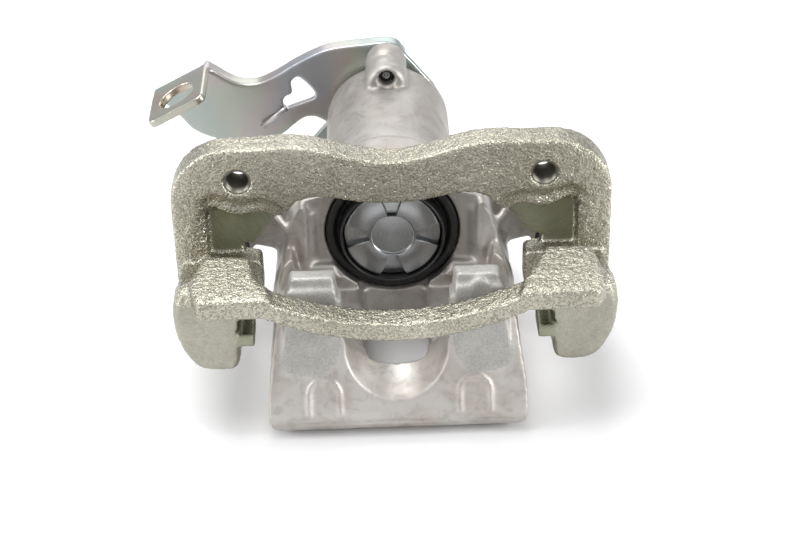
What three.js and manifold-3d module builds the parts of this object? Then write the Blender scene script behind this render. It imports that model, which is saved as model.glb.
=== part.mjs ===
// Floating rear disc-brake caliper with an integral parking-brake actuator, in millimetres.
//
// The piston runs along Y: the piston nose looks to -Y (outboard), the actuator sits at +Y (inboard).
// +Z points towards the wheel hub and X runs along the rotor's rim. The origin is the centre of the
// piston's nose. The caliper lies on the back of its bridge, so the lowest face is the bridge's back.

import * as THREE from 'three';
import { mergeVertices } from 'three/addons/utils/BufferGeometryUtils.js';
import Module from 'manifold-3d';

const wasm = await Module();
wasm.setup();

// ---------------------------------------------------------------- driving dimensions

const GAP = 0.3; // play between pieces that touch
const SIDES = 32; // facets round the cylinder and the piston
const SMALL_SIDES = 20; // facets round the pins, the shaft and the mechanism
const PISTON_R = 19; // 38 mm piston
const BORE_R = PISTON_R + GAP;
const PISTON_RIM_Y = -1; // ring face that pushes the pad
const PISTON_END_Y = 56;

const REAR_Y = 100; // rear face of the cylinder
const CYLINDER_R = 26;
const COLLAR_R = 30; // thick front end of the cylinder
const FACE_Y = 3; // front face of the cylinder
const CHAMBER_R = 16.5; // room for the parking-brake mechanism
const CHAMBER_Y = 58;
const REAR_WALL_Y = 90;

const BRIDGE_INNER_Z = -24.6; // faces the rotor's rim
const BRIDGE_BACK_Z = -47.5; // the face that the caliper lies on
const FINGER_INNER_Y = -45.3; // pushes the outer pad
const FINGER_TIP_Z = 15.5;
const FINGER_GAP_R = 19.7; // half of the gap between the two fingers

const PIN_X = 64.5; // guide pins
const PIN_Z = -10;
const PIN_R = 5;
const EAR_Y = 15.5; // outboard face of the ears
const EAR_THICK = 10.5;
const EAR_R = 10;

const CARRIER_HALF = 83.2; // half of the carrier's width
const BEAM_FRONT_Y = -12;
const KNUCKLE_Y = 3; // machined pads that bolt to the steering knuckle
const MOUNT_X = 57.5; // threaded mounting holes
const MOUNT_Z = 32.1;
const MOUNT_R = 5;
const ARM_END_Y = -58;
const TIE_FRONT_Y = -69;
const ROTOR_Z = 114; // rotor centre above the piston axis
const ROTOR_CLEAR_R = 133;

const PLATE_Y = REAR_Y + GAP; // cable bracket
const PLATE_THICK = 3.5;
const BOLT_RING_R = 19.5; // bracket bolts
const BOLT_ANGLES = [212, 340];

const SHAFT_R = 6; // parking-brake lever shaft
const LEVER_Y = 110;
const LEVER_THICK = 4;
const LEVER_ANGLE = 224.5; // released position, measured from +X towards +Z
const LEVER_R = 56; // where the cable pulls
const BALL_R = 3;
const BALL_RING_R = 9.5;

// ---------------------------------------------------------------- shape helpers

const radians = THREE.MathUtils.degToRad;

function polar(radius, degrees) {
  return [radius * Math.cos(radians(degrees)), radius * Math.sin(radians(degrees))];
}

// Points on an arc, with a point about every stepDegrees.
function arc(cx, cz, radius, from, to, stepDegrees = 15) {
  const steps = Math.max(2, Math.ceil(Math.abs(to - from) / stepDegrees));
  return Array.from({ length: steps + 1 }, (_, i) => {
    const [x, z] = polar(radius, from + ((to - from) * i) / steps);
    return [cx + x, cz + z];
  });
}

function flipX(points) {
  return points.map(([x, z]) => [-x, z]).reverse();
}

// Completes an outline from its right half, which runs from the bottom centre to the top centre.
function mirrored(half) {
  return [...half, ...flipX(half).filter(([x]) => x !== 0)];
}

function outline(points) {
  return new THREE.Shape(points.map(([a, b]) => new THREE.Vector2(a, b)));
}

// ---------------------------------------------------------------- solids

function solid(geometry) {
  const plain = geometry.clone();
  plain.deleteAttribute('normal');
  plain.deleteAttribute('uv');
  const merged = mergeVertices(plain, 1e-4);
  return new wasm.Manifold(new wasm.Mesh({
    numProp: 3,
    vertProperties: new Float32Array(merged.attributes.position.array),
    triVerts: new Uint32Array(merged.index.array),
  }));
}

// An outline in X and Z, extruded from y0 to y1.
function alongY(points, y0, y1) {
  const geometry = new THREE.ExtrudeGeometry(outline(points), { depth: y1 - y0, bevelEnabled: false });
  geometry.rotateX(Math.PI / 2);
  geometry.translate(0, y1, 0);
  return solid(geometry);
}

// An outline in Y and Z, extruded from x0 to x1.
function alongX(points, x0, x1) {
  const geometry = new THREE.ExtrudeGeometry(outline(points), { depth: x1 - x0, bevelEnabled: false });
  geometry.rotateY(Math.PI / 2);
  geometry.rotateX(Math.PI / 2);
  geometry.translate(x0, 0, 0);
  return solid(geometry);
}

// An outline in X and Y, extruded from z0 to z1.
function alongZ(points, z0, z1) {
  const geometry = new THREE.ExtrudeGeometry(outline(points), { depth: z1 - z0, bevelEnabled: false });
  geometry.translate(0, 0, z0);
  return solid(geometry);
}

function box(x0, x1, y0, y1, z0, z1) {
  const geometry = new THREE.BoxGeometry(x1 - x0, y1 - y0, z1 - z0);
  geometry.translate((x0 + x1) / 2, (y0 + y1) / 2, (z0 + z1) / 2);
  return solid(geometry);
}

// A closed profile of [radius, y] points turned about the Y axis, then moved to (x, z).
function turned(profile, x = 0, z = 0, sides = SMALL_SIDES) {
  const closed = [...profile, profile[0]].map(([r, y]) => new THREE.Vector2(r, y));
  const geometry = new THREE.LatheGeometry(closed, sides);
  geometry.translate(x, 0, z);
  return solid(geometry);
}

function rod(radius, y0, y1, x = 0, z = 0, sides = SMALL_SIDES) {
  return turned([[0, y0], [radius, y0], [radius, y1], [0, y1]], x, z, sides);
}

function ring(inner, outer, y0, y1, x = 0, z = 0, sides = SMALL_SIDES) {
  return turned([[inner, y0], [outer, y0], [outer, y1], [inner, y1]], x, z, sides);
}

function hexagon(acrossCorners, y0, y1, x = 0, z = 0) {
  return rod(acrossCorners / 2, y0, y1, x, z, 6);
}

// A round wire of the given radius along a curve, with closed ends.
function wire(points, radius, steps, sides = 5) {
  const curve = new THREE.CatmullRomCurve3(points.map((p) => new THREE.Vector3(...p)));
  const section = outline(arc(0, 0, radius, 0, 360 - 360 / sides, 360 / sides));
  return new THREE.ExtrudeGeometry(section, { extrudePath: curve, steps, bevelEnabled: false });
}

function join(...solids) {
  return solids.reduce((a, b) => a.add(b));
}

function cut(body, ...tools) {
  return tools.reduce((a, b) => a.subtract(b), body);
}

function both(make) {
  return join(make(1), make(-1));
}

// ---------------------------------------------------------------- materials

function finish(color, roughness, metalness) {
  return new THREE.MeshStandardMaterial({ color, roughness, metalness, flatShading: true });
}

const castIron = () => finish(0xb4b2a0, 0.5, 0.7); // zinc-plated sand casting
const castAluminium = () => finish(0xbdb5ae, 0.55, 0.6);
const machinedSteel = () => finish(0x9aa0a4, 0.3, 0.9);
const platedSteel = () => finish(0xb9beb8, 0.35, 0.8);
const rubber = () => finish(0x151515, 0.6, 0);
const bronze = () => finish(0xa8905c, 0.4, 0.8);

// ---------------------------------------------------------------- carrier

const POCKET_X = 70.5; // inner side of the carrier's columns
const POCKET_Y = -4; // floor of the milled pockets
const POCKET_LOW_Z = -4.3; // just above the guide-pin bores

function beamOutline() {
  const dip = Array.from({ length: 7 }, (_, i) => {
    const x = (38 * i) / 6;
    return [x, 38.5 + 3.75 * (1 - Math.cos((Math.PI * x) / 38))];
  }).reverse();
  const underside = [[0, 20.8], [15.5, 22], [24, 23.8], [31.5, 24.2], [41, 22.5], [44, 19.5]];
  const boss = arc(MOUNT_X, MOUNT_Z, 14.3, -135, -45);
  const column = [[POCKET_X, 17], [POCKET_X, -12], [CARRIER_HALF, -12]];
  const corner = arc(60.5, 23.5, CARRIER_HALF - 60.5, 0, 90);
  const half = [...underside, ...boss, ...column, ...corner, ...dip];
  return mirrored(half);
}

// Frame between the column and the pad slot, thinner than the beam.
function webOutline() {
  return [[72, -12], [72, 32], [44, 28], [43, 13], [48, 8.3], [50.5, 4], [54, 0.8], [59, 0.3], [59, -12]];
}

function armOutline() {
  return [[57.5, -18], [58.6, -20.8], [61, -21.7], [71, -21.3], [76, -16.8], [80.4, -8], [81, 2.5],
    [79.5, 10], [77, 15], [72, 15], [71, 3], [66, -1], [57.5, -1]];
}

function blockOutline() {
  return [
    [TIE_FRONT_Y + 1, 9], [TIE_FRONT_Y + 1, 16.6], [-42, 18.6],
    [-42, -3], [ARM_END_Y, -3], [ARM_END_Y, 7],
  ];
}

function tieBarOutline() {
  const height = 7.2;
  const crown = (x) => 4.6 + 10.6 * Math.min(1, (x / 47) ** 2);
  const stations = [-56, -47, -40, -32, -24, -16, -8, 0, 8, 16, 24, 32, 40, 47, 56];
  return [...stations.map((x) => [x, crown(x) - height]), ...stations.map((x) => [x, crown(x)]).reverse()];
}

function carrierSide(side) {
  const place = (points) => (side > 0 ? points : flipX(points));
  const x = side * MOUNT_X;
  const web = alongY(place(webOutline()), POCKET_Y, KNUCKLE_Y);
  const pad = rod(12, -1, KNUCKLE_Y, x, MOUNT_Z);
  const arm = alongY(place(armOutline()), ARM_END_Y, KNUCKLE_Y);
  const edges = [52, 74.3].map((edge) => side * edge).sort((a, b) => a - b);
  const block = alongX(blockOutline(), ...edges);
  const upperGuide = alongY(place([[52, 1], [59, 1], [59, 12], [52, 12]]), ARM_END_Y + 1, -43);
  const foot = alongY(place([[52, -11.5], [59, -11.5], [59, -6], [52, -6]]), ARM_END_Y + 1, -43);
  const innerFoot = alongY(place([[50.5, -18.5], [59, -18.5], [59, -1], [52, -1], [50.5, -2.5]]), -10, 0);
  return join(web, pad, arm, block, upperGuide, foot, innerFoot);
}

function carrierCuts(side) {
  const x = side * MOUNT_X;
  const thread = rod(MOUNT_R, -20, 10, x, MOUNT_Z);
  const pinBore = rod(PIN_R + 0.4, -47, 10, side * PIN_X, PIN_Z);
  const corner = [[side * 48, -38], [side * 56.5, -38], [side * 48, -50]];
  const chamfer = alongZ(side > 0 ? corner : corner.reverse(), 8.5, 25);
  const slot = [[50, -6], [57.5, -6], [57.5, 1], [50, 1]]; // the outer pad's ear slides in it
  const padSlot = alongY(side > 0 ? slot : flipX(slot), TIE_FRONT_Y - 1, -41);
  const floor = [[57.2, POCKET_LOW_Z], [POCKET_X, POCKET_LOW_Z], [POCKET_X, 12], [57.2, 12]];
  const pocket = alongY(side > 0 ? floor : flipX(floor), BEAM_FRONT_Y - 1, POCKET_Y);
  return join(thread, pinBore, chamfer, padSlot, pocket);
}

function carrier() {
  const beam = alongY(beamOutline(), BEAM_FRONT_Y, 0);
  const tieBar = alongY(tieBarOutline(), TIE_FRONT_Y, TIE_FRONT_Y + 12);
  const rotor = rod(ROTOR_CLEAR_R, -35, BEAM_FRONT_Y, 0, ROTOR_Z, 72);
  return cut(join(beam, tieBar, both(carrierSide)), rotor, both(carrierCuts));
}

// ---------------------------------------------------------------- housing

function cylinderShell() {
  const rearEdge = arc(CYLINDER_R - 7, REAR_Y - 7, 7, 0, 90, 30);
  const profile = [
    [0, FACE_Y], [COLLAR_R, FACE_Y], [COLLAR_R, 24], [CYLINDER_R, 32], ...rearEdge, [0, REAR_Y],
  ];
  return turned(profile, 0, 0, SIDES);
}

function bridgeProfile() {
  return [[FACE_Y + 1, BRIDGE_INNER_Z], [FINGER_INNER_Y, BRIDGE_INNER_Z], [FINGER_INNER_Y, FINGER_TIP_Z],
    [-53, 13.5], [-54, 12], [-54, -2], [-66.5, -37], [-66.5, -40.5], [-63.5, -45], [-58, BRIDGE_BACK_Z],
    [34, BRIDGE_BACK_Z], [52, -24], [52, -12], [FACE_Y + 1, -12]].reverse();
}

function bridgeOutline() {
  return mirrored([[0, BRIDGE_BACK_Z], [42, BRIDGE_BACK_Z], [46, -44.5], [48, -39], [47.6, -30], [44.3, -5],
    [41, 12], [38.5, 17], [0, 17]]);
}

function earOutline() {
  const lug = arc(PIN_X, PIN_Z, EAR_R, -155, 70);
  return mirrored([[0, -28], [43.5, -28], [44.5, -18], [47, -14.6], [54.9, -12.6], ...lug.slice(1), [42, 6],
    [30, 15], [0, 15]]);
}

function flankOutline(side) {
  const points = [
    [24, -30], [46, -30], [44.5, -15], [41.5, -4], [38, 10],
    [34, 15], [28, 16], [29, -8], [26, -24],
  ];
  return side > 0 ? points : flipX(points);
}

function portRidge() {
  const radius = 8.7;
  const z = 26.5;
  const crest = z + 2.2; // the ridge rises towards the cylinder's rear
  const base = box(-radius, radius, 75, 93, 12, z);
  const tail = new THREE.SphereGeometry(radius, SMALL_SIDES, 10);
  tail.translate(0, 91, crest);
  const neck = rod(radius, 84, 91, 0, crest);
  return join(rod(radius, 75, 91, 0, z), neck, base, solid(tail));
}

function bracketBoltPlaces() {
  return BOLT_ANGLES.map((angle) => polar(BOLT_RING_R, angle));
}

function fingerGap() {
  const slot = [[FINGER_GAP_R, 30], ...arc(0, -5, FINGER_GAP_R, 0, -180), [-FINGER_GAP_R, 30]];
  const parallel = alongY(slot.reverse(), -75, FINGER_INNER_Y + 1);
  const flare = turned([[0, -71], [24.5, -71], [14.8, -47], [0, -47]], 0, -10, SIDES);
  return parallel.add(flare);
}

function bridgeWindow() {
  const corner = (cx, cy, from) => arc(cx, cy, 4, from, from + 90, 30);
  const points = [
    ...corner(9, -3, 0), ...corner(-8.2, -3, 90), ...corner(-8.2, -45, 180), ...corner(9, -45, 270),
  ];
  return alongZ(points, BRIDGE_BACK_Z - 1, BRIDGE_INNER_Z + 2);
}

function housingCavity() {
  const profile = [[0, FACE_Y - 3], [26.3, FACE_Y - 3], [26.3, 9], [BORE_R, 9], [BORE_R, 22], [22.6, 22],
    [22.6, 26.5], [BORE_R, 26.5], [BORE_R, CHAMBER_Y], [CHAMBER_R, CHAMBER_Y], [CHAMBER_R, REAR_WALL_Y],
    [9, REAR_WALL_Y], [9, REAR_Y + 1], [0, REAR_Y + 1]];
  return turned(profile, 0, 0, SIDES);
}

function housing() {
  const bridge = alongX(bridgeProfile(), -49, 49).intersect(alongY(bridgeOutline(), -80, 80));
  const ears = alongY(earOutline(), EAR_Y, EAR_Y + EAR_THICK);
  const flanks = both((side) => alongY(flankOutline(side), -2, 24));
  const bosses = bracketBoltPlaces().map(([x, z]) => rod(6.5, 86, REAR_Y, x, z));
  const body = join(cylinderShell(), bridge, ears, flanks, portRidge(), ...bosses);
  const pinHoles = both((side) => rod(3.8, 10, 30, side * PIN_X, PIN_Z));
  const boltHoles = bracketBoltPlaces().map(([x, z]) => rod(3.3, 92, REAR_Y + 1, x, z, 16));
  const port = rod(3.4, 74, 88, 0, 29.4);
  const passage = box(-1.5, 1.5, 82, 85, 14, 29);
  return cut(body, housingCavity(), fingerGap(), bridgeWindow(), pinHoles, ...boltHoles, port, passage);
}

// ---------------------------------------------------------------- piston group

function piston() {
  const profile = [[0, 0], [8.7, 0], [9.3, PISTON_RIM_Y], [18.2, PISTON_RIM_Y],
    [PISTON_R, 0.2], [PISTON_R, 1.6],
    [17.4, 2], [17.4, 4.6], [PISTON_R, 5], [PISTON_R, PISTON_END_Y], [15.2, PISTON_END_Y], [15.2, 52.6],
    [16, 52.6], [16, 50.8], [15.2, 50.8], [15.2, 8.6], [0, 8.6]];
  const notch = [[8.7, 2.8], [20, 5.6], [20, -5.6], [8.7, -2.8]].reverse();
  const cuts = [0, 90, 180, 270].map((angle) => {
    const turn = radians(angle);
    const [c, s] = [Math.cos(turn), Math.sin(turn)];
    const points = notch.map(([x, z]) => [x * c - z * s, x * s + z * c]);
    return alongY(points, -3, 1.4);
  });
  return cut(turned(profile, 0, 0, SIDES), ...cuts);
}

function pistonBoot() {
  const inner = BORE_R;
  return turned([[inner, -2.2], [20.1, -2.2], [20.4, -1.4], [20.5, 2.4], [21.2, 3.4],
    [21.8, 2.4], [25.2, 2.6],
    [25.9, 3.6], [25.9, 8.6], [inner, 8.6], [inner, 5], [19.6, 4.4]], 0, 0, SIDES);
}

// ---------------------------------------------------------------- guide pins

function guidePin(side, withBushGroove) {
  const tip = withBushGroove ? [[4, -30], [4, -40], [PIN_R, -40]] : [];
  const profile = [[0, -44], [4, -44], [PIN_R, -43], ...tip.reverse(), [PIN_R, 9.5], [4.6, 10], [4.6, 11.5],
    [6.6, 11.5], [6.6, EAR_Y - GAP], [3.8, EAR_Y - GAP], [3.8, 0], [0, 0]];
  return turned(profile, side * PIN_X, PIN_Z);
}

function pinBolt(side) {
  const head = EAR_Y + EAR_THICK + GAP;
  const shank = rod(3.5, 2, head + 1, side * PIN_X, PIN_Z);
  const flange = rod(8.2, head, head + 1.4, side * PIN_X, PIN_Z);
  return join(shank, flange, hexagon(15, head, head + 6.5, side * PIN_X, PIN_Z));
}

function pinBoot(side) {
  const folds = [[5.3, 3.3], [9.4, 3.3], [9.5, 5], [7.4, 5.6], [9.3, 6.8], [7.2, 8], [8.8, 9.2], [6.8, 10],
    [6.8, 11.2], [4.9, 11.2], [4.9, 10.3], [5.3, 9.6]];
  return turned(folds, side * PIN_X, PIN_Z);
}

// ---------------------------------------------------------------- parking-brake mechanism

const THRUST_Y = 8.9; // front of the adjuster stack inside the piston

function adjusterNut() {
  return turned([[4.3, 11.2], [12, 11.2], [12, 14.4], [8.5, 14.4], [8.5, 30], [4.3, 30]]);
}

function coilPoints(radius, y0, y1, turns, perTurn = 10) {
  const count = Math.round(turns * perTurn);
  return Array.from({ length: count + 1 }, (_, i) => {
    const [x, z] = polar(radius, (360 * i) / perTurn);
    return [x, y0 + ((y1 - y0) * i) / count, z];
  });
}

function adjusterSpindle() {
  return turned([
    [0, 14], [3.2, 14], [4, 15], [4, 70], [14, 70], [14, 74.6], [6.4, 74.6], [6.4, 73], [0, 73],
  ]);
}

function ballPlaces() {
  return [90, 210, 330].map((angle) => polar(BALL_RING_R, angle));
}

function ballCage() {
  const disc = ring(6.6, 13, 77.2, 78.8);
  return cut(disc, ...ballPlaces().map(([x, z]) => rod(BALL_R + GAP, 76, 80, x, z, 16)));
}

function ball(x, z) {
  const geometry = new THREE.SphereGeometry(BALL_R, 12, 8);
  geometry.translate(x, 78, z);
  return solid(geometry);
}

function leverShaft() {
  const body = turned([
    [0, 81.4], [14, 81.4], [14, 85.4], [SHAFT_R, 85.4], [SHAFT_R, 123], [5.2, 124], [0, 124],
  ]);
  const flats = both((side) => box(side > 0 ? 4.9 : -8, side > 0 ? 8 : -4.9, LEVER_Y - GAP, 130, -8, 8));
  return cut(body, flats);
}

// A point u along the released lever and v to its side.
function leverPoint(u, v) {
  const turn = radians(LEVER_ANGLE);
  return [u * Math.cos(turn) - v * Math.sin(turn), u * Math.sin(turn) + v * Math.cos(turn)];
}

// A blank that turns round the shaft, an arm, and an end bent forward with a slot for the cable.
function lever() {
  const local = leverPoint;
  const arm = [[0, -13], [20, -12], [LEVER_R + 7, -9], [LEVER_R + 7, 1.6], [30, 7], [12, 13], [0, 13]];
  const blank = join(rod(13, LEVER_Y, LEVER_Y + LEVER_THICK),
    alongY(arm.map(([u, v]) => local(u, v)), LEVER_Y, LEVER_Y + LEVER_THICK));
  const tongue = [[LEVER_R - 7, -2.4], [LEVER_R + 7, -2.4], [LEVER_R + 7, 1.6], [LEVER_R - 7, 1.6]];
  const hook = alongY(tongue.map(([u, v]) => local(u, v)), 80, LEVER_Y + 1);
  const slotPoints = [[LEVER_R - 2, -4], [LEVER_R + 2, -4], [LEVER_R + 2, 4], [LEVER_R - 2, 4]];
  const slot = alongY(slotPoints.map(([u, v]) => local(u, v)), 79, 96);
  const hub = cut(rod(SHAFT_R + GAP, 100, 120),
    box(4.9 + GAP, 10, 90, 130, -10, 10), box(-10, -4.9 - GAP, 90, 130, -10, 10));
  return cut(join(blank, hook), slot, hub);
}

// Wire round the shaft, from a leg that rests on the bracket's rim to a leg hooked over the lever's edge.
function returnSpring() {
  const coilR = 11.5;
  const start = 210;
  const end = LEVER_ANGLE - 90 + 720;
  const [fx, fz] = polar(coilR, start);
  const [dx, dz] = polar(1, start - 90);
  const fixedLeg = [36.4, 20].map((t) => [fx + dx * t, 105.2, fz + dz * t]);
  const steps = 20;
  const coil = Array.from({ length: steps + 1 }, (_, i) => {
    const [x, z] = polar(coilR, start + ((end - start) * i) / steps);
    return [x, 105.4 + (3 * i) / steps, z];
  });
  const movingLeg = [[10, -coilR - 0.2, 108.4], [15, -12.4, 108.4], [18.4, -13.6, 109.6], [19, -13.6, 113]]
    .map(([u, v, y]) => {
      const [x, z] = leverPoint(u, v);
      return [x, y, z];
    });
  return wire([...fixedLeg, ...coil, ...movingLeg], 1, 56);
}

// ---------------------------------------------------------------- cable bracket

const BEND_TOP = [-76.6, 26]; // ends of the bend between the plate and the cable tab
const BEND_LOW = [-100.4, 13.6];
const RIM_DEPTH = 7; // the plate's folded upper edge
const TAB_FRONT_Y = 72.5;
const TAB_HOLE_R = 8.3;

function bracketTop() {
  const curve = new THREE.SplineCurve([BEND_TOP, [-69.4, 20.4], [-63, 16.9], [-55.8, 16.4], [-48, 19.6],
    [-38.9, 25.1], [-30.6, 29.3], [-22.4, 32], [-10, 33.3], [0, 34], [5.1, 32.6], [9, 27.6]]
    .map(([x, z]) => new THREE.Vector2(x, z)));
  return curve.getPoints(26).map((p) => [p.x, p.y]);
}

function bracketPlate() {
  const right = [[20.5, 13], [25, 4], ...arc(19, -8, 6.5, 0, -100)];
  const left = [...arc(-19, -8, 6.5, -80, -180), [-26, -3.5], [-31.2, -0.4], [-36, -0.8], [-41, -4.4],
    [-45.9, -8.4], [-53, -10.8], [-66, -11], [-74.8, -9.6], [-84.1, -4.9], [-89.9, 2.2]];
  return alongY([...bracketTop(), ...right, ...left, BEND_LOW].reverse(), PLATE_Y, PLATE_Y + PLATE_THICK);
}

// The plate's upper edge is folded back to stiffen it.
function bracketRim() {
  const top = bracketTop();
  const inner = top.map(([x, z], i) => {
    const [x0, z0] = top[Math.max(0, i - 1)];
    const [x1, z1] = top[Math.min(top.length - 1, i + 1)];
    const length = Math.hypot(x1 - x0, z1 - z0);
    return [x + ((z1 - z0) / length) * 3, z - ((x1 - x0) / length) * 3];
  });
  return alongY([...top, ...inner.reverse()].reverse(), PLATE_Y, PLATE_Y + RIM_DEPTH);
}

function cableTab() {
  const width = Math.hypot(BEND_LOW[0] - BEND_TOP[0], BEND_LOW[1] - BEND_TOP[1]);
  const [ux, uz] = [(BEND_LOW[0] - BEND_TOP[0]) / width, (BEND_LOW[1] - BEND_TOP[1]) / width];
  const front = TAB_FRONT_Y;
  const rear = PLATE_Y + PLATE_THICK;
  const flat = outline([
    [0, rear], [0, front + 3], [2.5, front], [width - 2.5, front], [width, front + 3], [width, rear],
  ]);
  flat.holes.push(new THREE.Path().absarc(width / 2, 86, TAB_HOLE_R, 0, Math.PI * 2, false));
  const settings = { depth: PLATE_THICK, bevelEnabled: false, curveSegments: 10 };
  const geometry = new THREE.ExtrudeGeometry(flat, settings);
  const across = new THREE.Vector3(ux, 0, uz);
  const along = new THREE.Vector3(0, 1, 0);
  const up = new THREE.Vector3().crossVectors(across, along);
  const corner = new THREE.Vector3(BEND_TOP[0], 0, BEND_TOP[1]);
  if (up.z > 0) corner.addScaledVector(up, -PLATE_THICK);
  geometry.applyMatrix4(new THREE.Matrix4().makeBasis(across, along, up).setPosition(corner));
  return solid(geometry);
}

function bracketWindow() {
  return alongY([[-41, 16], [-39, 18.6], [-36.4, 18.4], [-31.3, 12], [-30.7, 9.4], [-32.2, 8], [-43.6, 3.9],
    [-44.8, 6.6], [-43.9, 9.5], [-40.2, 11.6]].reverse(), PLATE_Y - 1, PLATE_Y + PLATE_THICK + 1);
}

// A narrow tongue beside the window, bent towards the front.
function bracketTongue() {
  return alongY([[-44, 4.2], [-53.6, -4.2], [-55, -2.4], [-45.4, 6.6]], PLATE_Y - 2.5, PLATE_Y + 1);
}

function cableBracket() {
  const holes = bracketBoltPlaces().map(([x, z]) => rod(3.3, 98, 110, x, z, 16));
  const shaftHole = rod(9.4, 98, 110);
  const pressing = join(bracketPlate(), bracketRim(), cableTab(), bracketTongue());
  return cut(pressing, bracketWindow(), shaftHole, ...holes);
}

function bracketBolt(x, z) {
  const head = PLATE_Y + PLATE_THICK + GAP;
  return join(rod(3, 93, head + 1, x, z, 16), hexagon(11, head, head + 3.8, x, z));
}

// ---------------------------------------------------------------- assembly

const caliper = new THREE.Group();

function toGeometry(shape) {
  if (shape.isBufferGeometry) return shape;
  const { vertProperties, triVerts, numProp } = shape.getMesh();
  const geometry = new THREE.BufferGeometry();
  const points = Array.from({ length: (vertProperties.length / numProp) * 3 }, (_, i) =>
    vertProperties[Math.floor(i / 3) * numProp + (i % 3)]);
  geometry.setAttribute('position', new THREE.Float32BufferAttribute(points, 3));
  geometry.setIndex(Array.from(triVerts));
  geometry.computeVertexNormals();
  return geometry;
}

function add(name, shape, material) {
  const mesh = new THREE.Mesh(toGeometry(shape), material);
  mesh.name = name;
  caliper.add(mesh);
}

add('carrier', carrier(), castIron());
add('housing', housing(), castAluminium());

add('piston', piston(), machinedSteel());
add('piston_seal', ring(BORE_R, 22.3, 22.3, 26.2, 0, 0, SIDES), rubber());
add('piston_boot', pistonBoot(), rubber());

[[1, 'right'], [-1, 'left']].forEach(([side, name]) => {
  add(`guide_pin_${name}`, guidePin(side, side < 0), machinedSteel());
  add(`pin_bolt_${name}`, pinBolt(side), platedSteel());
  add(`pin_boot_${name}`, pinBoot(side), rubber());
});
add('pin_bush', ring(4.3, 5.1, -39.7, -30.3, -PIN_X, PIN_Z), rubber());

add('thrust_washer', ring(5, 12.5, THRUST_Y, THRUST_Y + 2), machinedSteel());
add('adjuster_nut', adjusterNut(), bronze());
add('adjuster_spring', wire(coilPoints(11.5, 16.2, 47.4, 4), 1.1, 44), machinedSteel());
add('spring_seat', ring(5, 14.6, 48.8, 50.4), platedSteel());
add('piston_circlip', cut(ring(12.5, 15.7, 51.1, 52.3), box(-4, 4, 50, 54, -20, 0)), platedSteel());
add('adjuster_spindle', adjusterSpindle(), machinedSteel());
add('ball_cage', ballCage(), bronze());
ballPlaces().forEach(([x, z], index) => add(`ramp_ball_${index + 1}`, ball(x, z), machinedSteel()));
add('shaft_thrust_bearing', ring(6.5, 13.5, 85.8, 89.7), platedSteel());
add('lever_shaft', leverShaft(), machinedSteel());
add('shaft_bush', ring(SHAFT_R + GAP, 8.7, REAR_WALL_Y, 95.6), bronze());
add('shaft_seal', ring(SHAFT_R + GAP, 8.7, 96, REAR_Y), rubber());

add('cable_bracket', cableBracket(), platedSteel());
bracketBoltPlaces().forEach(([x, z], index) => {
  add(`bracket_bolt_${index + 1}`, bracketBolt(x, z), platedSteel());
});
add('return_spring', returnSpring(), machinedSteel());
add('lever', lever(), platedSteel());
const nutHex = hexagon(17, LEVER_Y + LEVER_THICK + GAP, 121);
add('lever_nut', cut(nutHex, rod(SHAFT_R + GAP, 110, 125)), platedSteel());

export default caliper;
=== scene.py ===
"""Looks of a floating disc-brake caliper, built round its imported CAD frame.

Shapes are laid out in millimetres in the frame's own axes and turned into metres when a piece is finished.
"""
import math

import bpy
import bmesh
import numpy as np
from mathutils import Matrix, Vector, noise


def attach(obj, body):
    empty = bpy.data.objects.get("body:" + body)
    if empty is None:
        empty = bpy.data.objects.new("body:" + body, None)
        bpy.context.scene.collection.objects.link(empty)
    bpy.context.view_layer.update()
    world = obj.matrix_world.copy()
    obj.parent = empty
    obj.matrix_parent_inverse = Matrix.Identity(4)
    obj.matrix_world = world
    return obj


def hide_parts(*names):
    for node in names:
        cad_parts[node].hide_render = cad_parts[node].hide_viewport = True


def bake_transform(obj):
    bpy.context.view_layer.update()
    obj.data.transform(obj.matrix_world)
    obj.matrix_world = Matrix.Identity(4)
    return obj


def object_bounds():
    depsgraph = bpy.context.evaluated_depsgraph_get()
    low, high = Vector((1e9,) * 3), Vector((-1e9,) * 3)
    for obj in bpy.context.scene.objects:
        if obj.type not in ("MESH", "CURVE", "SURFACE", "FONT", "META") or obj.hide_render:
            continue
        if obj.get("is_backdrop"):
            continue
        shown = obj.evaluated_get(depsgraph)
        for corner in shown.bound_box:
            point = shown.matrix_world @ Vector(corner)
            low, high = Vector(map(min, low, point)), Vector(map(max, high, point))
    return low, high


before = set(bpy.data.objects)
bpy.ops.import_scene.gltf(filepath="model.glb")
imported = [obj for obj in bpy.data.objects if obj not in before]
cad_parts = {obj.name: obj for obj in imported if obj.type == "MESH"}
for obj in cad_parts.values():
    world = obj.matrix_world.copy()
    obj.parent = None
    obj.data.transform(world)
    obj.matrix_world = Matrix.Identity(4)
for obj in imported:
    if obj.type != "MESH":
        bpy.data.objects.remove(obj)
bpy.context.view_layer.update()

scene = bpy.context.scene
MM = 0.001

# ---------------------------------------------------------------- dimensions, in mm

REAR_Y = 100  # the closed end of the cylinder
CYLINDER_R = 26
COLLAR_R = 30  # the thick mouth of the cylinder
PORT_Z = 29.4
BRIDGE_INNER_Z = -24.6
BRIDGE_BACK_Z = -47.5
FINGER_INNER_Y = -45.3
FINGER_BEND_Z = -2  # below this the fingers' outer faces slope outwards
FINGER_RUN, FINGER_FALL = 12.2, 35  # that slope: so far out over so much height
PIN_X, PIN_Z = 64.5, -10
MOUNT_X, MOUNT_Z = 57.5, 32.1
MOUNT_HOLE_R = 5.1
CARRIER_HALF = 83.2
BEAM_FRONT_Y = -12
POCKET_X, POCKET_Y, POCKET_LOW_Z = 70.5, -4, -2.9
KNUCKLE_Y = 3
ARM_END_Y = -58
PAD_BACK_Y = -41  # where the outer pad slots stop
TIE_FRONT_Y = -69
ROTOR_ROOM_R, ROTOR_Z = 133, 114
PLATE_Y, PLATE_THICK = 100.3, 3.5
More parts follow.
